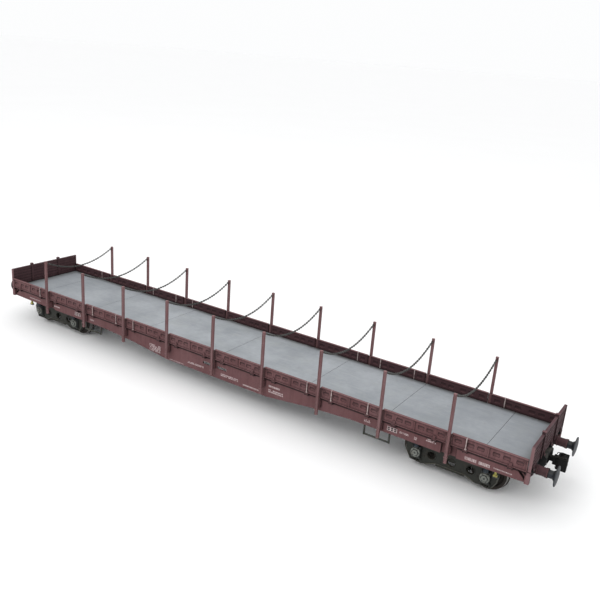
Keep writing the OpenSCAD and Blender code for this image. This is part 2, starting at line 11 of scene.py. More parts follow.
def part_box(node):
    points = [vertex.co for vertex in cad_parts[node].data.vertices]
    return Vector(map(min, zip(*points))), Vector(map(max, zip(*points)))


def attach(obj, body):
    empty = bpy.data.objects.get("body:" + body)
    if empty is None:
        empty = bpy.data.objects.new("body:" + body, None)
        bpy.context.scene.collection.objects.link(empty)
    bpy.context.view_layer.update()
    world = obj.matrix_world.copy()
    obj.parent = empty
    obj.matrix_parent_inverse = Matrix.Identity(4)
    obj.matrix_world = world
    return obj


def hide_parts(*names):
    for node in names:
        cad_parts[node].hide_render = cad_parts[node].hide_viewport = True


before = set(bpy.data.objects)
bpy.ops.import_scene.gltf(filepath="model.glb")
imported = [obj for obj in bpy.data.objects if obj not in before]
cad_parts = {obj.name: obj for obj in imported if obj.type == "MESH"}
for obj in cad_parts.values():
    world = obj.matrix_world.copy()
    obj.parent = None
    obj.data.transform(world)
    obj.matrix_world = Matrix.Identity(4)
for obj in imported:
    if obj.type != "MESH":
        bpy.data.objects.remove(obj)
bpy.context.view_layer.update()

MM = 0.001


def middle_of(node):
    """Middle of a CAD node's box at rest, in millimetres: along the wagon, across it, above the rails."""
    low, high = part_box(node)
    return [round((a + b) / 2 / MM, 2) for a, b in zip(low, high)]


def half_length_of(node):
    """Half of a CAD node's length along the wagon, in millimetres."""
    low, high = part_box(node)
    return round((high[0] - low[0]) / 2 / MM, 2)


# Places that the frame gives, in millimetres
STAKE_X = [middle_of(f"stakes_{n}")[0] for n in range(1, 10)]
BOARD_MIDDLES = [middle_of(f"near_board_{n}")[0] for n in range(1, 11)]
BOARD_HALVES = [half_length_of(f"near_board_{n}") for n in range(1, 11)]
AXLE_X = [middle_of(f"wheelset_{n}")[0] for n in range(1, 5)]
AXLE_Z = middle_of("wheelset_1")[2]
PIVOT_X = middle_of("right_bogie_frame")[0]
WHEELBASE = round(AXLE_X[3] - AXLE_X[2], 2)
BUFFER_Y, BUFFER_Z = middle_of("right_far_buffer")[1:]

# Faces that the looks are laid on, in millimetres from the wagon's middle
SILL_Y = 41.9       # outer face of a side sill's web
STRAP_Y = 44.9      # outer face of the drop sides' hinge straps
STAKE_Y = 47.0      # outer face of the stakes
BOGIE_Y = 32.0      # outer face of the bogies' side frames
COVER_Y = 36.15     # outer face of the axlebox covers' rims
FRAME_X = 291.5     # outer face of the headstocks

SIDES = (("near", -1), ("far", 1))
ENDS = (("left", -1), ("right", 1))


# ---------------------------------------------------------------- camera

def aim_camera():
    """The camera stands beyond the right end, above the near side."""
    data = bpy.data.cameras.new("camera")
    data.sensor_width = 36
    data.lens = 43.25
    data.clip_start = 0.01
    camera = bpy.data.objects.new("camera", data)
    bpy.context.scene.collection.objects.link(camera)
    place = Matrix.Translation((0.38837, -0.51764, 0.30729))
    azimuth, elevation, roll = (math.radians(a) for a in (32.3, 18.75, 4.44))
    turn = Matrix.Rotation(azimuth, 4, "Z") @ Matrix.Rotation(math.pi / 2 - elevation, 4, "X")
    camera.matrix_world = place @ turn @ Matrix.Rotation(roll, 4, "Z")
    bpy.context.scene.camera = camera


aim_camera()


# ---------------------------------------------------------------- materials

class Shader:
    """A node material around one Principled shader, with short calls for the nodes it needs."""

    def __init__(self, name, roughness=0.6, metallic=0.0):
        self.material = bpy.data.materials.new(name)
        self.material.use_nodes = True
        self.tree = self.material.node_tree
        self.tree.nodes.clear()
        out = self.tree.nodes.new("ShaderNodeOutputMaterial")
        self.bsdf = self.tree.nodes.new("ShaderNodeBsdfPrincipled")
        self.tree.links.new(self.bsdf.outputs["BSDF"], out.inputs["Surface"])
        self.bsdf.inputs["Roughness"].default_value = roughness
        self.bsdf.inputs["Metallic"].default_value = metallic
        self.place = self.tree.nodes.new("ShaderNodeTexCoord").outputs["Object"]

    def node(self, kind, outlet, links, **settings):
        made = self.tree.nodes.new(kind)
        for key, value in settings.items():
            setattr(made, key, value)
        for inlet, value in links.items():
            if isinstance(value, bpy.types.NodeSocket):
                self.tree.links.new(value, made.inputs[inlet])
            elif value is not None:
                made.inputs[inlet].default_value = value
        return made.outputs[outlet]

    def noise(self, scale, detail=4, roughness=0.55, stretch=None, shift=(0, 0, 0)):
        place = self.place
        if stretch or any(shift):
            place = self.node("ShaderNodeMapping", "Vector",
                              {"Vector": place, "Scale": stretch or (1, 1, 1), "Location": shift})
        return self.node("ShaderNodeTexNoise", "Fac",
                         {"Vector": place, "Scale": scale, "Detail": detail, "Roughness": roughness})

    def math(self, operation, a, b=None, clamp=False):
        return self.node("ShaderNodeMath", 0, {0: a, 1: b}, operation=operation, use_clamp=clamp)

    def times(self, a, b, clamp=False):
        return self.math("MULTIPLY", a, b, clamp)

    def span(self, value, low, high, to_low=0.0, to_high=1.0):
        limits = {"From Min": low, "From Max": high, "To Min": to_low, "To Max": to_high}
        return self.node("ShaderNodeMapRange", "Result", {"Value": value, **limits})

    def above(self, value, edge, soft):
        """1 where a length is above the edge and 0 below it, blended over soft either way, in millimetres."""
        return self.span(value, (edge - soft) * MM, (edge + soft) * MM)

    def below(self, value, edge, soft):
        """1 where a length is below the edge and 0 above it, blended over soft either way, in millimetres."""
        return self.span(value, (edge + soft) * MM, (edge - soft) * MM)

    def mix(self, factor, a, b, blend="MIX"):
        links = {0: factor, 6: colour4(a), 7: colour4(b)}
        return self.node("ShaderNodeMix", 2, links, data_type="RGBA", blend_type=blend)

    def axis(self, letter):
        return self.node("ShaderNodeSeparateXYZ", "XYZ".index(letter), {0: self.place})

    def off_middle(self, letter):
        """Distance from the wagon's middle along an axis, in metres."""
        return self.math("ABSOLUTE", self.axis(letter))

    def facing_up(self):
        """The normal's Z: 1 on top faces, -1 on undersides."""
        normal = self.tree.nodes.new("ShaderNodeNewGeometry").outputs["Normal"]
        return self.node("ShaderNodeSeparateXYZ", "Z", {0: normal})

    def edges(self, radius):
        """1 along sharp edges, 0 on flat faces."""
        soft = self.node("ShaderNodeBevel", "Normal", {"Radius": radius}, samples=4)
        plain = self.tree.nodes.new("ShaderNodeNewGeometry").outputs["Normal"]
        dot = self.node("ShaderNodeVectorMath", "Value", {0: soft, 1: plain}, operation="DOT_PRODUCT")
        return self.span(dot, 0.98, 0.8)

    def corners(self, distance, amount):
        """Darkening factor from ambient occlusion that rises in corners and gaps: painted shade, and dirt
        that gathers there.
        """
        open_sky = self.node("ShaderNodeAmbientOcclusion", "AO", {"Distance": distance}, samples=6)
        return self.times(self.span(open_sky, 0.94, 0.5), amount)

    def bump(self, height, strength, distance, rounded=None):
        normal = self.node("ShaderNodeBevel", "Normal", {"Radius": rounded}, samples=4) if rounded else None
        out = self.node("ShaderNodeBump", "Normal",
                        {"Height": height, "Strength": strength, "Distance": distance, "Normal": normal})
        self.tree.links.new(out, self.bsdf.inputs["Normal"])

    def colour(self, socket):
        self.tree.links.new(socket, self.bsdf.inputs["Base Color"])

    def roughness(self, socket):
        self.tree.links.new(socket, self.bsdf.inputs["Roughness"])


def colour4(value):
    if isinstance(value, tuple) and len(value) == 3:
        return (*value, 1.0)
    return value


def scaled(colour, factor):
    """A lighter or darker tone of a colour."""
    return tuple(factor * c for c in colour)


def weathered_paint(name, base, faded_and_highlight, grime_and_shade, chip, streak_amount=0.5, inside=None, bands=(), post=None,
                    shaded_hollow=False):
    """Matte wagon paint: fading patches, rain streaks, chips along the edges, dirt and painted shade in
    corners.

    inside is the darker tone of a drop side's inner face. bands are (low, high, amount): heights, in
    millimetres, between which painted shadow (amount below 0) or a painted highlight (above 0) runs along
    the wagon. post is the tone of the corner posts, seen from the wagon's sides. hollow paints near-black
    shade on what lies behind a sill's web near the ends.
    """
    s = Shader(name)
    s.bsdf.inputs["Specular IOR Level"].default_value = 0.22
    patches = s.span(s.noise(38, 5, 0.6), 0.35, 0.68)
    streaks = s.span(s.noise(1, 5, 0.62, stretch=(420, 420, 26)), 0.42, 0.72)
    speckle = s.span(s.noise(900, 3, 0.7), 0.55, 0.72)
    paint = s.mix(patches, base, faded_and_highlight)
    across, along, height = s.off_middle("Y"), s.off_middle("X"), s.axis("Z")
    if inside:
        inner = s.below(across, 43.5, 0.02)
        paint = s.mix(s.times(inner, s.above(height, 37.5, 0.3)), paint, inside)
        # Floors of the pressed fields: painted shade at the top, painted highlight along the foot
        recess = s.times(s.above(across, 43.175, 0.025), s.below(across, 43.875, 0.025))
        top = s.times(recess, s.above(height, 42.7, 0.7))
        foot = s.times(recess, s.below(height, 41.5, 0.3))
        paint = s.mix(s.times(top, 0.75), paint, scaled(inside, 0.3))
        paint = s.mix(s.times(foot, 0.45), paint, scaled(faded_and_highlight, 1.4))
    paint = s.mix(s.times(streaks, streak_amount), paint, grime_and_shade)
    # Painted shadow (amount below 0) and painted highlight (amount above 0) in bands along the wagon
    for low, high, amount in bands:
        band = s.times(s.above(height, low, 0.12), s.below(height, high, 0.12))
        tone = scaled(grime_and_shade, 0.3) if amount < 0 else scaled(faded_and_highlight, 1.5)
        paint = s.mix(s.times(band, abs(amount)), paint, tone)
    if post:
        at_corner = s.times(s.above(across, 43.15, 0.15), s.above(along, 291.35, 0.15))
        paint = s.mix(s.times(at_corner, 0.85), paint, post)
    worn = s.times(s.edges(0.0004), s.span(s.noise(260, 4, 0.6), 0.42, 0.6), True)
    paint = s.mix(s.times(worn, 0.5), paint, chip)
    paint = s.mix(s.times(speckle, 0.3), paint, grime_and_shade)
    # Painted highlight on upward ledges, painted shade under downward faces
    up = s.facing_up()
    up_face_highlight = s.span(up, 0.3, 0.9)
    paint = s.mix(s.times(up_face_highlight, 0.6), paint, scaled(faded_and_highlight, 1.35))
    paint = s.mix(s.times(s.span(up, -0.3, -0.9), 0.8), paint, scaled(grime_and_shade, 0.3))
    # Painted shade in corners and gaps, weaker on upward ledges
    shade = s.times(s.corners(0.0022, 0.9), s.span(up_face_highlight, 0, 1, 1, 0.35))
    paint = s.mix(shade, paint, scaled(grime_and_shade, 0.22))
    if shaded_hollow:
        # Painted shade: near-black on what lies behind the sill's web near the ends
        behind = s.times(s.below(across, 40.0, 0.1), s.above(along, 263, 1))
        paint = s.mix(behind, paint, (0.010, 0.007, 0.007))
    s.colour(paint)
    s.roughness(s.span(s.noise(160, 4), 0.3, 0.7, 0.6, 0.82))
    s.bump(s.math("ADD", s.noise(1400, 3), s.times(patches, 0.6)), 0.35, 0.00006, 0.00012)
    return s.material


def deck_steel():
    """Blue-grey floor plates: cloudy wear, faint rolling lines, scuffs, painted shadow along the sides and
    ends, painted shade and dirt in corners.
    """
    s = Shader("deck_steel", 0.5)
    s.bsdf.inputs["Specular IOR Level"].default_value = 0.3
    cloud = s.span(s.noise(26, 6, 0.62), 0.32, 0.7)
    fine = s.span(s.noise(240, 5, 0.65, shift=(0.3, 0, 0)), 0.35, 0.7)
    scuffs = s.span(s.noise(1, 4, 0.6, stretch=(28, 420, 1)), 0.52, 0.75)
    paint = s.mix(cloud, (0.265, 0.285, 0.305), (0.385, 0.405, 0.43))
    tint = s.span(s.noise(60, 4, 0.6, shift=(0.1, 0.9, 0)), 0.5, 0.7)
    paint = s.mix(s.times(tint, 0.3), paint, (0.33, 0.345, 0.33))
    paint = s.mix(s.times(fine, 0.3), paint, (0.23, 0.245, 0.265))
    paint = s.mix(s.times(scuffs, 0.28), paint, (0.46, 0.475, 0.49))
    far = s.above(s.off_middle("X"), 195, 95)
    paint = s.mix(s.times(far, 0.42), paint, (0.20, 0.215, 0.235))
    # Painted shadow along the foot of the drop sides and end walls, broken up by noise
    side = s.above(s.off_middle("Y"), 39.05, 2.55)
    end = s.above(s.off_middle("X"), 286.25, 5.25)
    rim = s.times(s.math("MAXIMUM", side, end), s.span(s.noise(90, 4), 0.1, 0.5), True)
    paint = s.mix(s.times(rim, 0.8), paint, (0.075, 0.075, 0.07))
    rust = s.span(s.noise(70, 6, 0.7, shift=(0.7, 0.2, 0)), 0.64, 0.74)
    paint = s.mix(s.times(rust, 0.25), paint, (0.16, 0.10, 0.075))
    # Painted shade and dirt in corners and gaps
    paint = s.mix(s.corners(0.004, 0.7), paint, (0.06, 0.058, 0.056))
    s.colour(paint)
    s.roughness(s.span(cloud, 0, 1, 0.66, 0.5))
    s.bump(s.math("ADD", cloud, s.times(fine, 0.3)), 0.25, 0.0001)
    return s.material


def dark_metal(name, base, light, rust, roughness=0.55, metallic=0.0, dust_amount=0.4, shine=0.25):
    """Dark running gear: oily base, dusty tops, brown brake dust."""
    s = Shader(name, roughness, metallic)
    s.bsdf.inputs["Specular IOR Level"].default_value = shine
    patches = s.span(s.noise(70, 5, 0.6), 0.35, 0.68)
    paint = s.mix(patches, base, light)
    brown = s.span(s.noise(150, 5, 0.65, shift=(0.1, 0.4, 0)), 0.5, 0.7)
    paint = s.mix(s.times(brown, dust_amount), paint, rust)
    dust = s.times(s.span(s.facing_up(), 0.3, 0.95), s.span(s.noise(200, 4), 0.3, 0.65), True)
    paint = s.mix(s.times(dust, dust_amount), paint, (0.22, 0.20, 0.16))
    worn = s.times(s.edges(0.0004), s.span(s.noise(300, 3), 0.42, 0.6), True)
    paint = s.mix(s.times(worn, 0.3), paint, scaled(light, 3.2))
    # Painted shade and dirt in corners and gaps
    paint = s.mix(s.corners(0.002, 0.8), paint, scaled(base, 0.25))
    s.colour(paint)
    s.roughness(s.span(patches, 0, 1, roughness - 0.1, roughness + 0.15))
    s.bump(s.noise(900, 4, 0.65), 0.4, 0.00008, 0.00014)
    return s.material


def wheel_steel(name, axle_x):
    """Rusty webs and bright treads, both kept very dark as painted shade under the wagon: the tread's place
    is its distance from the axle.
    """
    s = Shader(name, 0.5, 0.6)
    local = s.node("ShaderNodeVectorMath", "Vector", {0: s.place, 1: (axle_x, 0, AXLE_Z * MM)},
                   operation="SUBTRACT")
    flat = s.node("ShaderNodeVectorMath", "Vector", {0: local, 1: (1, 0, 1)}, operation="MULTIPLY")
    radius = s.node("ShaderNodeVectorMath", "Value", {0: flat}, operation="LENGTH")
    inboard = s.below(s.off_middle("Y"), 26.0, 0.2)
    ring = s.times(s.above(radius, 14.025, 0.175), s.below(radius, 14.6, 0.1))
    tread = s.times(ring, inboard)
    # Web and tread tones are very dark: painted shade under the wagon
    web = s.mix(s.span(s.noise(180, 5, 0.65), 0.35, 0.7), (0.022, 0.019, 0.017), (0.045, 0.035, 0.029))
    steel = s.mix(s.span(s.noise(400, 3), 0.4, 0.7), (0.19, 0.186, 0.18), (0.28, 0.27, 0.26))
    s.colour(s.mix(tread, web, steel))
    s.roughness(s.span(tread, 0, 1, 0.72, 0.3))
    s.bump(s.noise(1000, 3), 0.3, 0.00006)
    return s.material


def plain_worn(name, base, dark, roughness=0.5, metallic=0.0, scale=300):
    """Small painted or bare pieces: base with dirty patches."""
    s = Shader(name, roughness, metallic)
    s.bsdf.inputs["Specular IOR Level"].default_value = 0.3
    s.colour(s.mix(s.span(s.noise(scale, 4, 0.65), 0.4, 0.72), base, dark))
    s.roughness(s.span(s.noise(scale * 2, 3), 0.3, 0.7, roughness - 0.08, roughness + 0.12))
    s.bump(s.noise(1600, 2), 0.25, 0.00004)
    return s.material


# The bands paint a highlight along the drop sides' top flange, a shadow under that flange and a shadow under
# the boards; the sill's band paints the shadow under the boards, and its last flag paints near-black shade
# behind its web at the ends.
OXIDE = weathered_paint("oxide_paint", (0.116, 0.050, 0.052), (0.150, 0.074, 0.077),
                        (0.048, 0.021, 0.023), (0.26, 0.17, 0.17), 0.5, (0.056, 0.026, 0.030),
                        ((46.9, 48.0, 0.3), (46.1, 46.75, -0.8), (36.0, 37.6, -0.85)))
SILL_PAINT = weathered_paint("sill_paint", (0.114, 0.050, 0.052), (0.142, 0.068, 0.071),
                             (0.060, 0.026, 0.028), (0.26, 0.17, 0.17), 0.35, None, ((34.6, 40.0, -0.95),),
                             (0.175, 0.095, 0.10), True)
WALL_PAINT = weathered_paint("wall_paint", (0.060, 0.028, 0.032), (0.080, 0.040, 0.045),
                             (0.028, 0.014, 0.016), (0.20, 0.12, 0.12), 0.4, None, (), (0.19, 0.105, 0.11))
STAKE_PAINT = weathered_paint("stake_paint", (0.165, 0.080, 0.082), (0.205, 0.115, 0.118),
                              (0.085, 0.042, 0.043), (0.30, 0.22, 0.21), 0.3)
DECK = deck_steel()
FITTINGS = dark_metal("fittings_paint", (0.032, 0.033, 0.029), (0.056, 0.058, 0.050), (0.045, 0.034, 0.025))
FRAME_GREY = dark_metal("frame_paint", (0.012, 0.013, 0.014), (0.022, 0.023, 0.024), (0.030, 0.022, 0.017),
                        roughness=0.6, dust_amount=0.3, shine=0.15)
BOGIE = dark_metal("bogie_paint", (0.016, 0.017, 0.014), (0.028, 0.029, 0.024), (0.034, 0.025, 0.018))
BOGIE_LIP = dark_metal("bogie_lip", (0.060, 0.060, 0.050), (0.090, 0.090, 0.076), (0.05, 0.038, 0.028))
AXLEBOX = dark_metal("axlebox_paint", (0.034, 0.038, 0.038), (0.060, 0.064, 0.062), (0.045, 0.035, 0.028))
COVER = dark_metal("axlebox_cover", (0.120, 0.125, 0.112), (0.19, 0.20, 0.18), (0.10, 0.075, 0.055))
SPRING = dark_metal("spring_steel", (0.020, 0.030, 0.045), (0.040, 0.055, 0.075), (0.04, 0.03, 0.02), 0.45)
BUFFER = dark_metal("buffer_steel", (0.018, 0.021, 0.026), (0.034, 0.038, 0.046), (0.03, 0.026, 0.022),
                    roughness=0.5, metallic=0.2, dust_amount=0.25)
COUPLER = dark_metal("coupler_iron", (0.005, 0.005, 0.005), (0.011, 0.011, 0.011), (0.016, 0.012, 0.010),
                     roughness=0.65, dust_amount=0.12, shine=0.12)
CHAIN = plain_worn("chain_steel", (0.085, 0.085, 0.080), (0.035, 0.033, 0.030), 0.5, 0.3, 500)
WHITE = plain_worn("strap_white", (0.42, 0.35, 0.34), (0.14, 0.075, 0.075), 0.7, 0.0, 380)
MARK = plain_worn("mark_white", (0.50, 0.41, 0.41), (0.24, 0.15, 0.15), 0.75, 0.0, 700)
MARK_DARK = plain_worn("mark_dark", (0.035, 0.030, 0.030), (0.07, 0.05, 0.05), 0.7, 0.0, 700)
YELLOW = plain_worn("handle_yellow", (0.36, 0.33, 0.07), (0.14, 0.12, 0.05), 0.6, 0.0, 500)

WHEEL = [wheel_steel(f"wheel_steel_{n}", x * MM) for n, x in enumerate(AXLE_X, 1)]


def cad_material(node):
    if node.startswith("stakes_"):
        return STAKE_PAINT
    if "side_sill" in node:
        return SILL_PAINT
    if "end_wall" in node or node == "buffer_sleeves":
        return WALL_PAINT
    if node.startswith("wheelset_"):
        return WHEEL[int(node[-1]) - 1]
    if "buffer" in node and "sleeve" not in node:
        return BUFFER
    if "coupler" in node:
        return COUPLER
    if "axlebox" in node:
        return AXLEBOX
    if "bogie" in node:
        return BOGIE
    if node == "underframe_fittings":
        return FITTINGS
    if node == "centre_frame":
        return FRAME_GREY
    if node == "deck_plates":
        return DECK
    if node.startswith("chain_"):
        return CHAIN
    return OXIDE


for node_name, node_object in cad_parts.items():
    node_object.data.materials.clear()
    node_object.data.materials.append(cad_material(node_name))


# ---------------------------------------------------------------- mesh building

class Piece:
    """A mesh built up from boxes, rods and links, in millimetres."""

    def __init__(self):
        self.bm = bmesh.new()

    def box(self, low, high, edge=0.12):
        """A box with rounded edges."""
        made = bmesh.ops.create_cube(self.bm, size=1.0)["verts"]
        size = [h - l for l, h in zip(low, high)]
        middle = [(l + h) / 2 for l, h in zip(low, high)]
        for v in made:
            v.co = Vector([m + c * s for m, c, s in zip(middle, v.co, size)])
        edge = min(edge, min(size) * 0.35)
        edges = list({e for v in made for e in v.link_edges})
        bmesh.ops.bevel(self.bm, geom=edges, offset=edge, segments=2, profile=0.6, affect="EDGES")
        return self

    def rod(self, start, end, radius, sides=12, end_radius=None, edge=0.0):
        """A rod or a cone from start to end."""
        start, end = Vector(start), Vector(end)
        along = end - start
        turn = along.to_track_quat("Z", "Y").to_matrix().to_4x4()
        place = Matrix.Translation((start + end) / 2) @ turn
        made = bmesh.ops.create_cone(self.bm, cap_ends=True, segments=sides, radius1=radius,
                                     radius2=radius if end_radius is None else end_radius,
                                     depth=along.length, matrix=place)["verts"]
        if edge:
            rims = [e for e in {e for v in made for e in v.link_edges}
                    if any(len(f.verts) > 4 for f in e.link_faces)]
            bmesh.ops.bevel(self.bm, geom=rims, offset=edge, segments=2, profile=0.6, affect="EDGES")
        return self

    def tube(self, points, radius, sides=8):
        """A round bar bent along the points."""
        points = [Vector(p) for p in points]
        rings = []
        normal = None
        for k, p in enumerate(points):
            tangent = (points[min(k + 1, len(points) - 1)] - points[max(k - 1, 0)]).normalized()
            if normal is None:
                guide = Vector((0, 0, 1)) if abs(tangent.z) < 0.9 else Vector((1, 0, 0))
                normal = tangent.cross(guide).normalized()
            normal = (normal - tangent * normal.dot(tangent)).normalized()
            other = tangent.cross(normal)
            rings.append([self.bm.verts.new(p + radius * (math.cos(a) * normal + math.sin(a) * other))
                          for a in (2 * math.pi * j / sides for j in range(sides))])
        for a, b in zip(rings, rings[1:]):
            for j in range(sides):
                self.bm.faces.new((a[j], a[(j + 1) % sides], b[(j + 1) % sides], b[j]))
        self.bm.faces.new(rings[0][::-1])
        self.bm.faces.new(rings[-1])
        return self

    def link(self, middle, along, across, length, width, wire, corner=4, sides=6):
        """One stadium-shaped chain link."""
        out = along.cross(across)
        half, turn = (length - width) / 2, (width - wire) / 2
        ring = []
        for s in (1, -1):
            for k in range(corner + 1):
                a = math.pi * k / corner - math.pi / 2
                ring.append((s * (half + turn * math.cos(a)), s * turn * math.sin(a),
                             s * math.cos(a), s * math.sin(a)))
        loops = []
        for x, y, nx, ny in ring:
            centre = middle + along * x + across * y
            normal = along * nx + across * ny
            loops.append([self.bm.verts.new(centre + wire / 2 * (math.cos(a) * normal + math.sin(a) * out))
                          for a in (2 * math.pi * j / sides for j in range(sides))])
        for k, a in enumerate(loops):
            b = loops[(k + 1) % len(loops)]
            for j in range(sides):
                self.bm.faces.new((a[j], a[(j + 1) % sides], b[(j + 1) % sides], b[j]))
        return self

    def hoop(self, middle, radius, wire, steps, about="X"):
        """A ring of round bar about a line along X or Y through its middle."""
        x, y, z = middle
        turns = [2 * math.pi * k / steps for k in range(steps + 1)]
        if about == "X":
            points = [(x, y + radius * math.sin(a), z + radius * math.cos(a)) for a in turns]
        else:
            points = [(x + radius * math.sin(a), y, z + radius * math.cos(a)) for a in turns]
        return self.tube(points, wire, 6)

    def finish(self, name, body, slot, material, smooth=40):
        """Makes the mesh an object that rides on a body and takes the given material; slot is not used."""
        for v in self.bm.verts:
            v.co *= MM
        bmesh.ops.recalc_face_normals(self.bm, faces=self.bm.faces)
        mesh = bpy.data.meshes.new(name)
        self.bm.to_mesh(mesh)
        self.bm.free()
        mesh.materials.append(material)
        mesh.shade_smooth()
        mesh.set_sharp_from_angle(angle=math.radians(smooth))
        made = bpy.data.objects.new(name, mesh)
        bpy.context.scene.collection.objects.link(made)
        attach(made, body)
        return made


def bolt(piece, at, normal, radius=0.34, height=0.24):
    """A hexagon head with a small dome on it."""
    at, normal = Vector(at), Vector(normal)
    piece.rod(at - normal * 0.1, at + normal * height, radius, 6)
    piece.rod(at + normal * (height - 0.02), at + normal * (height + 0.12), radius * 0.55, 8, radius * 0.3)


def corners(x, half, y0, y1, z0, z1):
    """Low and high corner of a box around x, whichever way round its two Y values come."""
    return (x - half, min(y0, y1), z0), (x + half, max(y0, y1), z1)


# ---------------------------------------------------------------- chains

# Route of a stake chain across the wagon: (y, z) in metres, the same points as the frame's
CHAIN_ROUTE = [
    (-0.0442, 0.0783), (-0.040, 0.0763), (-0.036, 0.0746), (-0.032, 0.073), (-0.028, 0.0717),
    (-0.024, 0.0705), (-0.020, 0.0695), (-0.016, 0.0687), (-0.012, 0.068), (-0.008, 0.0676),
    (-0.004, 0.0673), (0.0, 0.0672), (0.004, 0.0673), (0.008, 0.0676), (0.012, 0.068),
    (0.016, 0.0687), (0.020, 0.0695), (0.024, 0.0705), (0.028, 0.0717), (0.032, 0.073),
    (0.036, 0.0746), (0.040, 0.0763), (0.0442, 0.0783),
]
CHAIN_D = 0.0019    # width of a link, in metres


def along_route(points, distance):
    """The point and direction at a distance along a run of points."""
    for a, b in zip(points, points[1:]):
        step = (b - a).length
        if distance <= step or b is points[-1]:
            return a + (b - a) * (distance / step), (b - a).normalized()
        distance -= step


def hang_chain(number, x):
    """Real links along the route, every second one turned a quarter about the chain."""
    path = [(x * MM, y, z) for y, z in CHAIN_ROUTE]
    points = [Vector(p) / MM for p in path]
    length = sum((b - a).length for a, b in zip(points, points[1:]))
    wire, width, link_length, slack = 0.62, CHAIN_D / MM, 2.9, 0.04
    pitch = link_length - 2 * wire - slack
    count = round(length / pitch)
    piece = Piece()
    for k in range(count):
        middle, along = along_route(points, length * (k + 0.5) / count)
        side = Vector((1, 0, 0))
        up = along.cross(side)
        # Each link leans half way between flat and upright, and sways a little on its own
        tilt = math.radians(45 + 8 * math.sin(k * 1.7 + number))
        across = side * math.cos(tilt) + up * math.sin(tilt)
        if k % 2:
            across = along.cross(across)
        piece.link(middle, along, across, link_length, width, wire)
    made = piece.finish(f"hanging_chain_{number}", f"stake_pair_{number}", "chain_steel", CHAIN)
    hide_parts(f"chain_{number}")


for number, x in enumerate(STAKE_X, 1):
    hang_chain(number, x)


# ---------------------------------------------------------------- drop sides

HINGE_OFFSET = 17.2     # a hinge strap's distance from its board's middle
BOARD_TOP = 47.5
BOARD_INNER_Y = 42.5    # where the tall straps end inside the board

# Straps that run over their board's top edge: the board's number from the left, and the side of its middle
TALL_STRAPS = [(0, 1), (2, -1), (2, 1), (3, -1), (6, 1), (7, -1), (7, 1), (9, -1)]


def dress_board(side, sign, i):
    """Bolts of the straps, rivets of the ribs, and the white straps of one drop side."""
    out = Vector((0, sign, 0))
    rib = sign * 44.4
    steel, white = Piece(), Piece()
    middle, half = BOARD_MIDDLES[i], BOARD_HALVES[i]
    for s in (-1, 1):
        x = middle + s * HINGE_OFFSET
        if (i, s) in TALL_STRAPS:
            # Outer strip, its wider foot, the bend over the top edge, and the inner strip
            outer, inner = sign * STRAP_Y, sign * BOARD_INNER_Y
            white.box(*corners(x, 0.4, sign * (STRAP_Y - 0.2), outer, 38.8, BOARD_TOP))
            white.box(*corners(x, 0.8, sign * (STRAP_Y - 0.3), outer, 37.7, 38.9))
            white.box(*corners(x, 0.4, inner, outer, BOARD_TOP - 0.16, BOARD_TOP + 0.1))
            white.box(*corners(x, 0.4, inner, sign * (BOARD_INNER_Y + 0.3), 39.2, BOARD_TOP))
            for z in (41.4, 45.8):
                bolt(white, (x, outer, z), out, 0.26, 0.12)
        else:
            for z in (38.3, 39.7):
                bolt(steel, (x, sign * (STRAP_Y - 0.1), z), out, 0.3, 0.18)
    # Rivets up the middle rib and the two end ribs
    for x in (middle, middle - half + 0.4, middle + half - 0.4):
        for z in (38.9, 41.0, 43.1, 45.2):
            steel.rod((x, rib, z), (x, rib + sign * 0.32, z), 0.2, 8, 0.12)
    # Latch that locks the board to its neighbours, and its finger loop
    for s in (-1, 1):
        x = middle + s * (half - 2.6)
        steel.box(*corners(x, 1.5, sign * 44.0, sign * 44.5, 44.1, 45.0))
        steel.tube([(x - 0.8, rib, 44.4), (x - 0.8, sign * STRAP_Y, 44.2),
                    (x + 0.8, sign * STRAP_Y, 44.2), (x + 0.8, rib, 44.4)], 0.14, 6)
    body = f"{side}_board_{i + 1}"
    steel.finish(f"{side}_board_bolts_{i + 1}", body, "oxide_paint", OXIDE)
    if any(key[0] == i for key in TALL_STRAPS):
        white.finish(f"{side}_white_straps_{i + 1}", body, "oxide_paint", WHITE)
    else:
        white.bm.free()


for side, sign in SIDES:
    for i in range(len(BOARD_MIDDLES)):
        dress_board(side, sign, i)


# ---------------------------------------------------------------- stakes

def dress_stakes(number, x):
    """Shackles of the chain, top caps and locking wedges of one pair of stakes."""
    piece = Piece()
    for _, sign in SIDES:
        # Raised rims along the outer face
        for s in (-1, 1):
            piece.box(*corners(x + s * 0.92, 0.18, sign * STAKE_Y, sign * (STAKE_Y + 0.35), 23.2, 79.4), 0.1)
        # Cap, wedge in the socket, and the shackle that holds the chain
        piece.box(*corners(x, 1.25, sign * 44.95, sign * (STAKE_Y + 0.3), 79.8, 80.45), 0.2)
        piece.box(*corners(x, 1.45, sign * 45.3, sign * (STAKE_Y + 0.4), 26.6, 27.5), 0.15)
        piece.link(Vector((x, sign * 44.6, 78.0)), Vector((0, 0, 1)), Vector((0, 1, 0)), 2.3, 1.5, 0.36)
        for z in (31.0, 76.8):
            bolt(piece, (x, sign * (STAKE_Y + 0.1), z), (0, sign, 0), 0.36, 0.2)
    piece.finish(f"stake_fittings_{number}", f"stake_pair_{number}", "oxide_paint", STAKE_PAINT)


for number, x in enumerate(STAKE_X, 1):
    dress_stakes(number, x)


# ---------------------------------------------------------------- marks on the sills

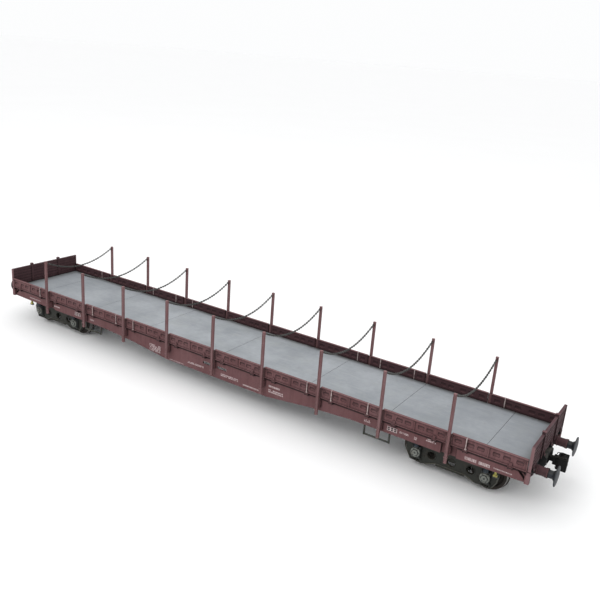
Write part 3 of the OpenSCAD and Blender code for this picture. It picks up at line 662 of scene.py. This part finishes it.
# Stencilled patches on a sill: (first x, last x, low z, high z, rows of bars), seen from the near side
MARKS = (
    (-267, -248, 30.0, 31.1, 1), (-226, -216, 30.0, 32.0, 1), (-168.6, -162.5, 29.7, 31.5, 2),
    (-83, -68, 21.6, 29.0, 5), (-56, -38, 19.3, 20.2, 1), (-33, -13, 23.0, 25.0, 2),
    (7.6, 28, 22.2, 25.0, 2), (33.5, 52, 20.8, 22.6, 1), (62, 78, 23.6, 27.0, 2), (62, 74, 28.6, 31.0, 1),
    (158, 164, 29.4, 31.8, 2), (190, 198, 30.3, 32.2, 2), (202.6, 205.4, 29.4, 32.2, 2),
    (212.6, 221, 31.9, 34.7, 2), (244.6, 254, 28.3, 31.8, 1), (255.6, 264.4, 28.3, 31.8, 1),
    (267, 281, 29.6, 30.7, 1),
)

# Data plates on a sill: (first x, last x, low z, high z)
PLATES = ((-192, -183, 29.4, 33.2), (179, 188, 29.4, 33.1))


def sign_x(sign, x):
    """Marks run the same way for a viewer at either side."""
    return -sign * x


def bars(piece, sign, x0, x1, z0, z1, rows, seed):
    """Rows of short painted bars that stand for stencilled data."""
    pick = random.Random(seed)
    pitch = (z1 - z0) / rows
    back, front = sign * (SILL_Y - 0.02), sign * (SILL_Y + 0.05)
    for row in range(rows):
        low = z0 + pitch * row
        x = x0
        while x < x1 - 0.5:
            w = min(pick.choice((0.7, 1.0, 1.3)), x1 - x)
            if pick.random() < (0.86 if rows > 1 else 1):
                piece.box(*corners(sign_x(sign, x + w / 2), w / 2 - 0.14, back, front,
                                   low + pitch * 0.12, low + pitch * 0.86), 0.01)
            x += w


def mark_sill(side, sign):
    """Marks and data plates of one side sill."""
    white, dark, plate = Piece(), Piece(), Piece()
    for k, (x0, x1, z0, z1, rows) in enumerate(MARKS):
        bars(white, sign, x0, x1, z0, z1, rows, 40 + k)
    for x0, x1, z0, z1 in PLATES:
        low, high = sorted((sign_x(sign, x0), sign_x(sign, x1)))
        middle, half = (low + high) / 2, (high - low) / 2
        plate.box(*corners(middle, half, sign * (SILL_Y - 0.05), sign * (SILL_Y + 0.3), z0, z1), 0.25)
        for row in (0, 1):
            for k in range(3):
                dark.box(*corners(middle - half + 1.7 + k * (half - 1.7), 0.95, sign * (SILL_Y + 0.2),
                                  sign * (SILL_Y + 0.36), z0 + 0.5 + row * 1.6, z0 + 1.7 + row * 1.6), 0.02)
        for s in (-1, 1):
            for z in (z0 + 0.3, z1 - 0.3):
                dark.rod((middle + s * (half - 0.35), sign * (SILL_Y + 0.2), z),
                         (middle + s * (half - 0.35), sign * (SILL_Y + 0.42), z), 0.14, 6, 0.08)
    white.finish(f"{side}_sill_marks", "underframe", "oxide_paint", MARK)
    plate.finish(f"{side}_sill_plates", "underframe", "oxide_paint", MARK)
    dark.finish(f"{side}_sill_plate_rows", "underframe", "oxide_paint", MARK_DARK)


for side, sign in SIDES:
    mark_sill(side, sign)


# ---------------------------------------------------------------- underframe

TANK = Vector((-84, 22, 30.4))
CYLINDER = Vector((20.2, -22, 30.6))    # middle of the brake cylinder's end face
PIPE_Y, PIPE_Z = 13, 29.4               # the brake pipe's run along the wagon


def dress_underframe():
    """Handles, bolted feet, tank bands, pipe joints and socket bolts below the deck."""
    yellow, dark, red = Piece(), Piece(), Piece()
    for _, sign in SIDES:
        for end in (-1, 1):
            x, y = end * 268.5, sign * 38
            yellow.box((x - 0.85, y - 0.75, 22.9), (x + 0.85, y + 0.75, 26.3), 0.3)
            yellow.box((x - 1.6, y - 1.1, 21.5), (x + 1.6, y + 1.1, 23.1), 0.4)
            # Bolted pads of the two U bars
            for bar_x in (157, 180):
                bolt(dark, (end * bar_x, sign * 37.7, 31.0), (0, 0, -1), 0.8, 0.5)
        for x in STAKE_X:
            for s in (-1, 1):
                for z in (29.0, 34.0):
                    bolt(red, (x + s * 1.05, sign * 45.0, z), (0, sign, 0), 0.28, 0.12)
        # Gussets between the sill's web and its lower flange
        for x in (-205, -158, -86, -29, 29, 86, 158, 205):
            low = 26.6 if abs(x) > 145 else 22.4 if abs(x) > 80 else 18.8
            red.box(*corners(x, 0.3, sign * 38.8, sign * 41.2, low, 36.4), 0.08)
    # Tank ends, bands and drain
    x, y, z = TANK
    for s in (-1, 1):
        dark.hoop((x + s * 10, y, z), 4.75, 0.32, 24)
        dark.rod((x + s * 16.9, y, z), (x + s * 18.6, y, z), 4.3, 24, 2.6, 0.3)
    dark.rod((x, y, z - 5.2), (x, y, z - 4.2), 0.6, 8)
    # Brake cylinder's end cover
    dark.rod(CYLINDER, CYLINDER + Vector((1.1, 0, 0)), 4.5, 24, edge=0.25)
    for k in range(6):
        a = math.pi * k / 3
        bolt(dark, CYLINDER + 3.9 * Vector((0, math.cos(a), math.sin(a))), (-1, 0, 0), 0.4, 0.3)
    # Couplings along the brake pipe
    for x in (-275, -175, -70, 60, 175, 275):
        dark.rod((x - 1.6, PIPE_Y, PIPE_Z), (x + 1.6, PIPE_Y, PIPE_Z), 1.0, 6)
        dark.rod((x - 0.5, PIPE_Y, PIPE_Z), (x + 0.5, PIPE_Y, PIPE_Z), 1.25, 12)
    # Distributor valve's cover, bolts and pipes
    dark.rod((8, 16.2, 31.5), (8, 15.2, 31.5), 2.6, 20, 2.2, 0.2)
    for k in range(4):
        a = math.pi * (k + 0.5) / 2
        bolt(dark, (8 + 3.0 * math.cos(a), 16, 31.5 + 2.6 * math.sin(a)), (0, -1, 0), 0.35, 0.25)
    tank_pipe = ((-66.5, 30.4), (-62, 30.4), (-60, 32), (-58.4, 34), (-58, 34.4))
    dark.tube([(x, TANK.y, z) for x, z in tank_pipe], 0.45, 8)
    dark.tube([(4.2, 20, 31), (0.9, 20, 31)], 0.45, 8)
    yellow.finish("corner_handles", "underframe", "oxide_paint", YELLOW)
    dark.finish("underframe_details", "underframe", "frame_paint", FRAME_GREY)
    red.finish("sill_details", "underframe", "oxide_paint", OXIDE)


dress_underframe()


# ---------------------------------------------------------------- ends

def dress_end(end, name):
    """Buffer base bolts and collars, headstock and corner post bolts, and drawgear bolts of one end."""
    red, dark = Piece(), Piece()
    out = Vector((end, 0, 0))
    for sign in (-1, 1):
        y = sign * BUFFER_Y
        for dy in (-3.4, 3.4):
            for z in (BUFFER_Z - 3.4, BUFFER_Z + 2.7):
                bolt(red, (end * (FRAME_X + 1.4), y + dy, z), out, 0.5, 0.4)
        for x in (FRAME_X + 3.5, FRAME_X + 10.9):
            red.hoop((end * x, y, BUFFER_Z), 3.7, 0.28, 28)
        for dy in (-12.4, -9.6, 9.6):
            for z in (29.0, 33.6):
                bolt(red, (end * (FRAME_X + 0.7), sign * (BUFFER_Y - dy * 0.62), z), out, 0.3, 0.2)
        for z in (29.4, 32.4, 35.4):
            bolt(red, (end * 293.9, sign * 42.9, z), out, 0.34, 0.2)
        # Plate that closes the sill's end behind the corner opening
        dark.box(*corners(end * 290.8, 0.5, sign * 39.8, sign * 41.0, 27.2, 35.6), 0.1)
    # Drawgear: bolts of the casting and a rib around its window
    for sign in (-1, 1):
        for z in (28.6, 31.4, 34.2):
            bolt(dark, (end * 293.6, sign * 10.0, z), (0, sign, 0), 0.4, 0.25)
            bolt(dark, (end * 296.5, sign * 7.6, z), out, 0.42, 0.3)
    window = ((-5.4, 28.6), (5.4, 28.6), (5.4, 34.9), (-5.4, 34.9), (-5.4, 28.6))
    dark.tube([(end * 296.5, y, z) for y, z in window], 0.3, 6)
    red.finish(f"{name}_end_fittings", "underframe", "oxide_paint", OXIDE)
    dark.finish(f"{name}_drawgear_fittings", "underframe", "coupler_iron", COUPLER)


def dress_wall(end, name):
    """Strap bolts, post bolts and caps, and hand loops of one end wall."""
    piece = Piece()
    out = Vector((end, 0, 0))
    post_y, post_half = 18.2, 1.4
    hand_loop = ((293.8, 30, 56.4), (294.7, 30, 56.2), (294.7, 33, 56.2), (293.8, 33, 56.4))
    for y in (-37, -10, 10, 37):
        for dy in (-0.8, 0.8):
            bolt(piece, (end * 294.1, y + dy, 39.2), out, 0.28, 0.16)
    for sign in (-1, 1):
        for z in (40.5, 44.5, 48.5, 52.5, 56.5):
            bolt(piece, (end * 294.3, sign * post_y, z), out, 0.34, 0.2)
            bolt(piece, (end * 291.5, sign * post_y, z), -out, 0.34, 0.2)
        post = sign * post_y
        piece.box(*corners(end * 292.9, 1.6, post - post_half, post + post_half, 59.6, 60.1), 0.15)
        piece.tube([(end * x, sign * y, z) for x, y, z in hand_loop], 0.22, 6)
    piece.finish(f"{name}_wall_fittings", f"{name}_end_wall", "oxide_paint", OXIDE)


def dress_buffer(end, sign, name):
    """Rim, boss and bolts of one buffer's head."""
    piece = Piece()
    y = sign * BUFFER_Y
    piece.hoop((end * 308.9, y, BUFFER_Z), 7.72, 0.3, 40)
    piece.rod((end * 307.7, y, BUFFER_Z), (end * 306.4, y, BUFFER_Z), 4.2, 28, 3.2, 0.15)
    for k in range(4):
        a = math.pi * (k + 0.5) / 2
        at = (end * 308.22, y + 5.4 * math.cos(a), BUFFER_Z + 5.4 * math.sin(a))
        bolt(piece, at, (-end, 0, 0), 0.45, 0.2)
    piece.finish(f"{name}_buffer_fittings", f"{name}_buffer", "buffer_steel", BUFFER)


def dress_coupler(end, name):
    """Cast ribs, lock lever and guard lips on one coupler's head."""
    piece = Piece()
    x = FRAME_X + 11
    flip = Vector((end, 1, 1))
    for y in (-4.4, 4.2):
        piece.box(*corners(end * (x + 4.1), 3.1, y - 0.35, y + 0.35, 35.8, 36.5), 0.2)
    for z in (27.6, 34.0):
        piece.box(*corners(end * (x + 3.1), 3.3, -5.7, -5.4, z, z + 0.8), 0.12)
    piece.rod(Vector((x + 6, -3.4, 35.6)) * flip, Vector((x + 6, -3.4, 36.9)) * flip, 1.25, 12, 1.0, 0.2)
    piece.tube([Vector(p) * flip for p in ((x + 6, -3.4, 36.7), (x + 5, -1.5, 37.0), (x + 1, 2.5, 36.9),
                                           (x - 1.6, 4.9, 35.2), (x - 2.0, 5.4, 33.6))], 0.3, 8)
    for y in (-2.2, 2.2):
        bolt(piece, Vector((x - 2, y, 34.2)) * flip, (0, 0, 1), 0.5, 0.35)
    piece.finish(f"{name}_coupler_fittings", f"{name}_coupler", "coupler_iron", COUPLER)


for name, end in ENDS:
    dress_end(end, name)
    dress_wall(end, name)
    dress_coupler(end, name)
    for side, sign in SIDES:
        dress_buffer(end, sign, f"{name}_{side}")


# ---------------------------------------------------------------- bogies

SPRING_Y = 34.7     # the axlebox springs' distance from the wagon's middle
HOLE_X = 16.2       # the outer lightening holes' distance from the bogie's middle


def coil(piece, x, y, low, high, radius, wire, turns):
    """An upright coil spring."""
    per_turn = 14
    steps = turns * per_turn
    angles = [2 * math.pi * k / per_turn for k in range(steps + 1)]
    piece.tube([(x + radius * math.cos(a), y + radius * math.sin(a), low + (high - low) * k / steps)
                for k, a in enumerate(angles)], wire, 6)


def dress_bogie(end, name):
    """Frame lips, hole rims, springs, axlebox covers and brake rods of one bogie."""
    frame_piece, lip_piece, box_piece, cover_piece, spring_piece = (Piece() for _ in range(5))
    for sign in (-1, 1):

        def at(x, z, out=0.0):
            """A place on the side frame's outer face, x from the bogie's middle."""
            return (end * PIVOT_X + x, sign * (BOGIE_Y + out), z)

        top = [(-36.5, 22.6), (-24, 23.8), (-17, 25.2), (17, 25.2), (24, 23.8), (36.5, 22.6)]
        foot = [(-20.5, 6.6), (-12.5, 9.8), (12.5, 9.8), (20.5, 6.6)]
        frame_piece.tube([at(x, z, 0.1) for x, z in top], 0.42, 8)
        lip_piece.tube([at(x, z, 0.1) for x, z in foot], 0.5, 8)
        for s in (-1, 1):
            lip_piece.tube([at(s * x, z, 0.1) for x, z in ((38.0, 18), (37.0, 12.2), (33.6, 6.7))], 0.42, 8)
        for x in (-HOLE_X, 0, HOLE_X):
            frame_piece.hoop(at(x, 15.4, 0.05), 3.75, 0.3, 28, "Y")
        for x in (-22.3, -8, 8, 22.3):
            for z in (12.6, 21.4):
                bolt(frame_piece, at(x, z), (0, sign, 0), 0.42, 0.3)
        # Keep plates, springs and covers of the axleboxes
        for s in (-1, 1):
            x = end * PIVOT_X + s * WHEELBASE / 2
            plate_y = BOGIE_Y + 0.7
            frame_piece.box(*corners(x, 4.6, sign * (BOGIE_Y - 0.2), sign * plate_y, 8.3, 10.1), 0.15)
            for dx in (-3.9, 3.9):
                bolt(frame_piece, (x + dx, sign * plate_y, 9.2), (0, sign, 0), 0.36, 0.25)
            coil(spring_piece, x, sign * SPRING_Y, 20.4, 24.1, 2.05, 0.3, 4)
            spring_piece.rod((x, sign * SPRING_Y, 25.1), (x, sign * SPRING_Y, 25.7), 1.7, 16, 1.3, 0.1)

            def off(y):
                """A place on the axle's line."""
                return (x, sign * y, AXLE_Z)

            cover_piece.rod(off(34.9), off(COVER_Y), 4.1, 28, 3.85, 0.15)
            for k in range(6):
                a = math.pi * k / 3
                place = (x + 3.1 * math.cos(a), sign * COVER_Y, AXLE_Z + 3.1 * math.sin(a))
                bolt(box_piece, place, (0, sign, 0), 0.38, 0.28)
            cover_piece.rod(off(COVER_Y - 0.1), off(COVER_Y + 0.75), 2.5, 24, 2.2, 0.15)
            box_piece.rod(off(COVER_Y + 0.7), off(COVER_Y + 1.05), 0.9, 6, 0.7)
            for dx in (-1, 1):
                box_piece.box(*corners(x + dx * 2.9, 0.35, sign * 34.2, sign * 35.0, 11.2, 19.9), 0.12)
    # Brake rods between the shoes, and the side bearers on the transom
    for s in (-1, 1):
        frame_piece.rod((end * PIVOT_X - 8.4, s * 23, 14.1), (end * PIVOT_X + 8.4, s * 23, 14.1), 0.5, 8)
        frame_piece.box(*corners(end * PIVOT_X, 3.0, s * 15.5, s * 19.5, 23.4, 26.0), 0.3)
    frame_piece.finish(f"{name}_bogie_fittings", f"{name}_bogie", "bogie_paint", BOGIE)
    lip_piece.finish(f"{name}_bogie_lips", f"{name}_bogie", "bogie_paint", BOGIE_LIP)
    box_piece.finish(f"{name}_axlebox_fittings", f"{name}_bogie", "bogie_paint", AXLEBOX)
    cover_piece.finish(f"{name}_axlebox_covers", f"{name}_bogie", "bogie_paint", COVER)
    spring_piece.finish(f"{name}_axlebox_springs", f"{name}_bogie", "bogie_paint", SPRING)


for name, end in ENDS:
    dress_bogie(end, name)


# ---------------------------------------------------------------- floor and light

def stand_and_light():
    """A wide white floor, two soft lamps and a bright sky."""
    floor_mesh = bpy.data.meshes.new("floor")
    reach = 60.0
    rim = [(x * reach, y * reach, 0) for x, y in ((-1, -1), (1, -1), (1, 1), (-1, 1))]
    floor_mesh.from_pydata(rim, [], [(0, 1, 2, 3)])
    floor = bpy.data.objects.new("floor", floor_mesh)
    bpy.context.scene.collection.objects.link(floor)
    s = Shader("floor", 0.85)
    s.colour(s.mix(s.span(s.noise(3, 3), 0.3, 0.7), (0.985, 0.985, 0.985), (0.995, 0.995, 0.995)))
    floor_mesh.materials.append(s.material)
    for name, place, target, size, power in (
        ("key", (-0.1, -1.3, 1.3), (0, 0, 0.03), 0.8, 7),
        ("top", (-0.2, -0.1, 1.6), (0, 0, 0.03), 1.2, 2),
    ):
        data = bpy.data.lights.new(name, "AREA")
        data.shape = "DISK"
        data.size = size
        data.energy = power
        light = bpy.data.objects.new(name, data)
        light.location = place
        light.rotation_euler = (Vector(target) - Vector(place)).to_track_quat("-Z", "Y").to_euler()
        bpy.context.scene.collection.objects.link(light)
    world = bpy.data.worlds.new("studio")
    world.use_nodes = True
    world.node_tree.nodes["Background"].inputs["Color"].default_value = (0.99, 0.995, 1.0, 1)
    world.node_tree.nodes["Background"].inputs["Strength"].default_value = 0.99
    bpy.context.scene.world = world
    bpy.context.scene.view_settings.view_transform = "Standard"


stand_and_light()
